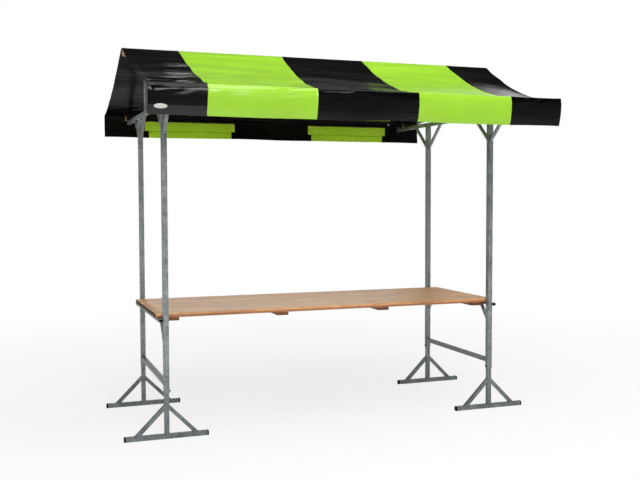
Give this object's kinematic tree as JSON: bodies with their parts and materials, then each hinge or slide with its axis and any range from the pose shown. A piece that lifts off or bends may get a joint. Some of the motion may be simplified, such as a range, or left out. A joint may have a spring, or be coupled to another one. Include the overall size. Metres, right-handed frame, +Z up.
{
  "type": "market stall",
  "caption": "Knock-down market stall: galvanised end frames on splayed feet, a plank table between them and a glossy striped ridge canopy over timber beams.",
  "frame": {"origin": "middle of the stall's footprint, on the ground", "axes": "+X along the stall to its right-hand end as seen from the front, +Y from the front to the back, +Z up"},
  "size_m": [2.94, 2.2168, 2.583],
  "materials": {
    "galvanised_steel": "hot-dip galvanised square tube, dull mottled grey",
    "zinc_screws": "zinc plated screws, dull grey",
    "black_caps": "moulded black polyethylene",
    "white_plastic": "moulded white plastic",
    "beam_timber": "planed softwood",
    "board_pine": "planed pine planks with an oiled, orange-brown edge",
    "batten_pine": "planed pine, darker underside",
    "canopy_sheet": "glossy coated sheet in welded lime green and black stripes",
    "patch_plastic": "bare off-white oval patch"
  },
  "bodies": {
    "root": {"left_front_foot": "galvanised_steel", "left_back_foot": "galvanised_steel", "right_front_foot": "galvanised_steel", "right_back_foot": "galvanised_steel", "left_foot_caps": "black_caps", "right_foot_caps": "black_caps", "left_front_post": "galvanised_steel", "left_back_post": "galvanised_steel", "right_front_post": "galvanised_steel", "right_back_post": "galvanised_steel", "left_lock_screws": "zinc_screws", "right_lock_screws": "zinc_screws", "left_lower_rail": "galvanised_steel", "right_lower_rail": "galvanised_steel", "left_table_bearer": "galvanised_steel", "right_table_bearer": "galvanised_steel", "left_table_braces": "galvanised_steel", "right_table_braces": "galvanised_steel", "left_head_rail": "galvanised_steel", "right_head_rail": "galvanised_steel", "left_beam_hooks": "galvanised_steel", "right_beam_hooks": "galvanised_steel", "left_head_braces": "galvanised_steel", "right_head_braces": "galvanised_steel", "left_king_post": "galvanised_steel", "right_king_post": "galvanised_steel", "left_ridge_clip": "galvanised_steel", "right_ridge_clip": "galvanised_steel", "ridge_beam": "beam_timber", "front_eaves_beam": "beam_timber", "back_eaves_beam": "beam_timber", "front_beam_studs": "white_plastic", "back_beam_studs": "white_plastic", "table_board": "board_pine", "table_battens": "batten_pine", "canopy": "canopy_sheet", "blank_patch": "patch_plastic"}
  },
  "joints": []
}
